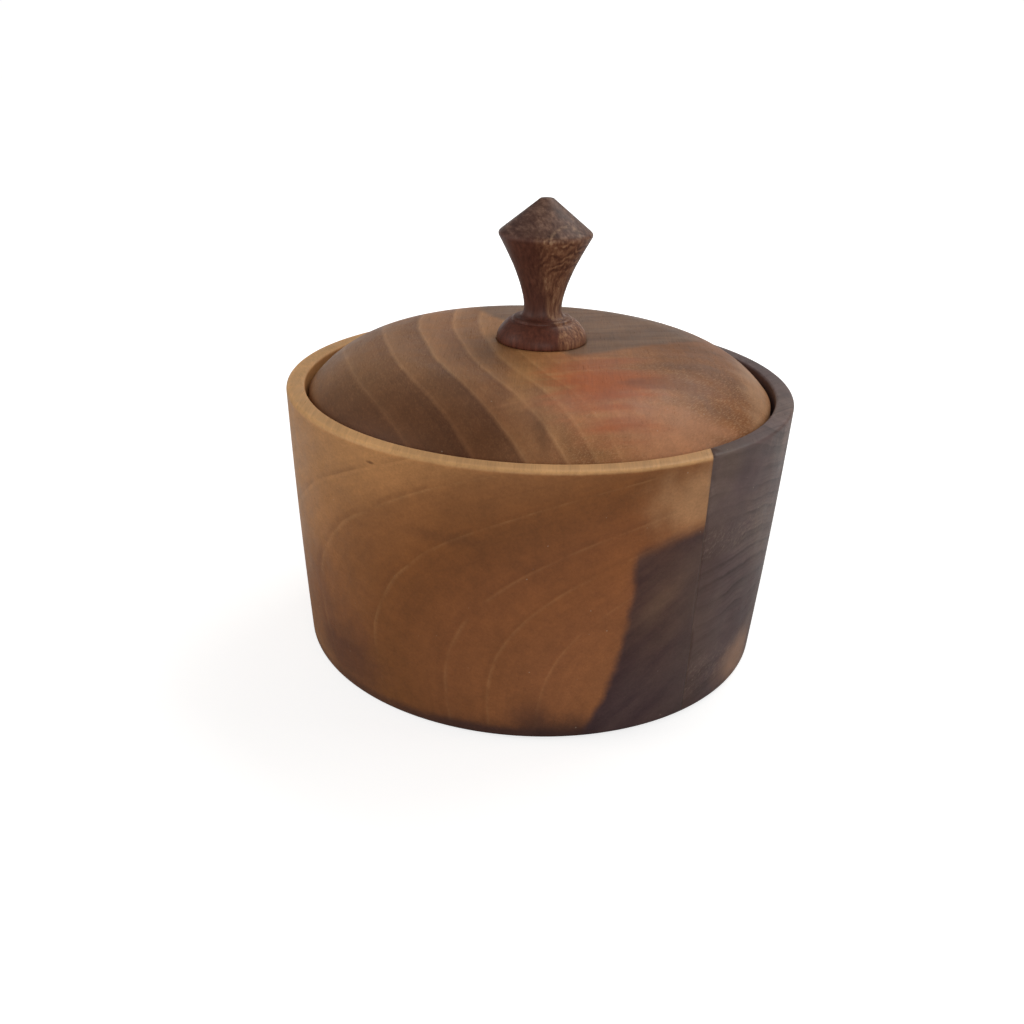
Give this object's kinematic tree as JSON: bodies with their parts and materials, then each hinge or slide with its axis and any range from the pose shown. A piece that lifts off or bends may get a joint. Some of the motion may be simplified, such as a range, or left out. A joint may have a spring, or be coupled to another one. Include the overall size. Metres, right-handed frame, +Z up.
{
  "type": "lidded wooden sugar bowl",
  "caption": "Round turned wooden bowl with a domed drop-in lid and a slender turned knob, for keeping sugar cubes on the table.",
  "frame": {"origin": "centre of the bowl's standing ring, on the table", "axes": "+Z up the axis that the bowl, the lid and the knob are turned about; +X to the right and -Y towards the viewer in the picture"},
  "size_m": [0.16, 0.1598, 0.1422],
  "materials": {
    "bowl_pale_wood": "oiled, satin",
    "bowl_dark_wood": "oiled, satin",
    "lid_wood": "oiled, satin",
    "knob_wood": "oiled, satin"
  },
  "bodies": {
    "bowl": {"bowl_pale_board": "bowl_pale_wood", "bowl_dark_board": "bowl_dark_wood"},
    "lid": {"lid_disc": "lid_wood", "lid_knob": "knob_wood"}
  },
  "joints": [
    {"name": "lid_lift", "type": "slide", "parent": "bowl", "child": "lid", "axis": [0, 0, 1], "range_m": [0, 0.07]}
  ]
}
